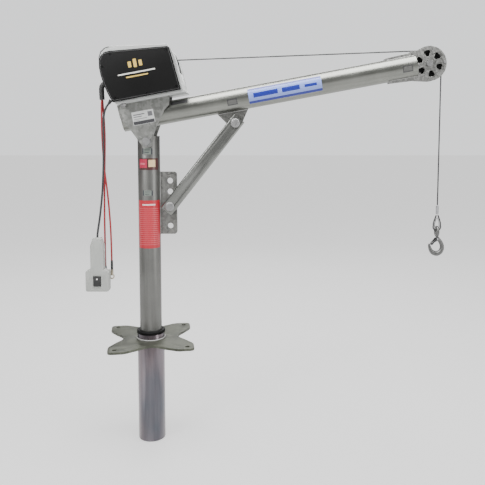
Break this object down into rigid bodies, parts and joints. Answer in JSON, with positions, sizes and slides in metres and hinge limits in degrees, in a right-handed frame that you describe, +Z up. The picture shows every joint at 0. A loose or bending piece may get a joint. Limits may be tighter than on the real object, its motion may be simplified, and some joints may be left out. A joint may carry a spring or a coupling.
{
  "type": "portable davit crane",
  "caption": "Deck-socket davit crane: swivelling mast, luffing boom with pinned brace, electric winch, wire rope over a sheave, safety hook and pendant handset.",
  "frame": {"origin": "on the mast's axis at the underside of the base plate, the deck plane", "axes": "+Z up the mast, +X along the boom's plan direction, -Y towards the pendant's side"},
  "size_m": [1.182, 0.3096, 1.3176],
  "materials": {
    "zinc_plate": "zinc-plated plate, mottled satin grey",
    "zinc_tube": "galvanised tube, satin with a lengthwise sheen",
    "bright_zinc": "bright zinc, faintly blue and pink",
    "steel": "plain machined or plated steel",
    "silver_paint": "silver paint, satin",
    "black_plastic": "black moulded plastic, fine grain",
    "black_rubber": "black rubber",
    "red_rubber": "red cable insulation",
    "wire_rope": "galvanised wire rope",
    "light_plastic": "light grey moulded plastic",
    "brass": "brass or tinned copper"
  },
  "bodies": {
    "base": {"base_plate": "zinc_plate", "socket_sleeve": "bright_zinc", "sleeve_floor": "zinc_plate", "top_bush": "black_plastic", "bottom_bush": "black_plastic"},
    "mast": {"mast_tube": "zinc_tube", "mast_foot_plug": "steel", "mast_pivot_tube": "steel", "brace_bracket": "zinc_plate"},
    "boom": {"boom_tube": "zinc_tube", "side_plate_near": "zinc_plate", "side_plate_far": "zinc_plate", "brace_lug": "zinc_plate", "head_plate_near": "zinc_plate", "head_plate_far": "zinc_plate", "pivot_bolt": "steel", "sheave_bolt": "steel", "rope_keeper_pin": "steel", "winch_mount_plate": "silver_paint", "mount_bolt_1": "steel", "mount_bolt_2": "steel", "mount_bolt_3": "steel", "mount_bolt_4": "steel", "winch_housing": "silver_paint", "winch_end_cap": "black_plastic", "winch_cover_near": "black_plastic", "winch_cover_far": "black_plastic", "winch_frame_near": "steel", "winch_frame_far": "steel", "motor_case": "black_plastic", "contactor": "black_plastic", "lead_boot": "black_rubber", "pendant_gland": "black_rubber", "rope_run": "wire_rope"},
    "brace": {"brace_bar": "zinc_plate", "brace_upper_pin": "steel", "brace_lower_pin_head": "steel", "brace_lower_pin_nut": "steel"},
    "drum": {"winch_drum": "steel", "rope_winding": "wire_rope", "drum_gear": "steel"},
    "mid_gear": {"mid_gear": "steel"},
    "rotor": {"motor_rotor": "steel"},
    "sheave": {"sheave": "black_plastic", "sheave_bush": "brass"},
    "rope_hang": {"rope_drop": "wire_rope"},
    "rope_end": {"rope_ferrule": "steel", "rope_eye": "wire_rope", "thimble": "steel"},
    "hook": {"hook": "steel", "latch_pin": "steel"},
    "latch": {"hook_latch": "bright_zinc"},
    "leads": {"red_lead_left": "red_rubber", "red_lead_right": "red_rubber", "red_lug_left": "brass", "red_lug_right": "brass"},
    "pendant": {"pendant_cord": "black_rubber", "handset_front": "light_plastic", "handset_back": "light_plastic"},
    "rocker": {"rocker": "black_plastic"}
  },
  "joints": [
    {"name": "mast_swivel", "type": "hinge", "parent": "base", "child": "mast", "pos_m": [0, 0, 0], "axis": [0, 0, 1], "continuous": true},
    {"name": "boom_luff", "type": "hinge", "parent": "mast", "child": "boom", "pos_m": [0, 0, 0.6685], "axis": [0, -1, 0], "range_deg": [0, 26.6]},
    {"name": "brace_swing", "type": "hinge", "parent": "boom", "child": "brace", "pos_m": [0.28642, 0, 0.7287], "axis": [0, -1, 0], "range_deg": [-15.6, 0]},
    {"name": "drum_spin", "type": "hinge", "parent": "boom", "child": "drum", "pos_m": [-0.00495, 0, 0.88726], "axis": [0, -1, 0], "range_deg": [0, 510]},
    {"name": "mid_gear_spin", "type": "hinge", "parent": "boom", "child": "mid_gear", "pos_m": [-0.04737, 0, 0.90228], "axis": [0, -1, 0], "range_deg": [-2050, 10]},
    {"name": "motor_spin", "type": "hinge", "parent": "boom", "child": "rotor", "pos_m": [-0.08614, 0, 0.87944], "axis": [0, -1, 0], "range_deg": [-10, 8170]},
    {"name": "sheave_spin", "type": "hinge", "parent": "boom", "child": "sheave", "pos_m": [0.91629, 0, 0.92121], "axis": [0, -1, 0], "range_deg": [-5, 510]},
    {"name": "rope_plumb", "type": "hinge", "parent": "boom", "child": "rope_hang", "pos_m": [0.91629, 0, 0.92121], "axis": [0, -1, 0], "range_deg": [-26.7, 0.1]},
    {"name": "hoist", "type": "slide", "parent": "rope_hang", "child": "rope_end", "axis": [0, 0, 1], "range_m": [0, 0.3755], "deforming": ["rope_drop"]},
    {"name": "hook_swing", "type": "hinge", "parent": "rope_end", "child": "hook", "pos_m": [0.95959, 0, 0.383], "axis": [0, -1, 0], "range_deg": [-30, 30]},
    {"name": "latch_open", "type": "hinge", "parent": "hook", "child": "latch", "pos_m": [0.96059, 0, 0.343], "axis": [0, -1, 0], "range_deg": [0, 38], "stiffness_Nm_per_rad": 0.05, "springref_deg": -11.46},
    {"name": "leads_plumb", "type": "hinge", "parent": "boom", "child": "leads", "pos_m": [-0.14169, -0.04, 0.80191], "axis": [0, -1, 0], "range_deg": [-26.7, 0.1]},
    {"name": "pendant_plumb", "type": "hinge", "parent": "boom", "child": "pendant", "pos_m": [-0.11422, -0.07, 0.78819], "axis": [0, -1, 0], "range_deg": [-26.7, 0.1]},
    {"name": "rocker_tilt", "type": "hinge", "parent": "pendant", "child": "rocker", "pos_m": [-0.159, -0.082, 0.219], "axis": [1, 0, 0], "range_deg": [-8, 8], "stiffness_Nm_per_rad": 0.2}
  ],
  "couplings": [
    {"joint": "brace_swing", "follows": "boom_luff", "ratio": -0.583},
    {"joint": "rope_plumb", "follows": "boom_luff", "ratio": -1},
    {"joint": "leads_plumb", "follows": "boom_luff", "ratio": -1},
    {"joint": "pendant_plumb", "follows": "boom_luff", "ratio": -1},
    {"joint": "mid_gear_spin", "follows": "drum_spin", "ratio": -4},
    {"joint": "motor_spin", "follows": "drum_spin", "ratio": 16},
    {"joint": "sheave_spin", "follows": "drum_spin", "ratio": 0.97229},
    {"joint": "hoist", "follows": "drum_spin", "m_per_rad": 0.0421}
  ]
}
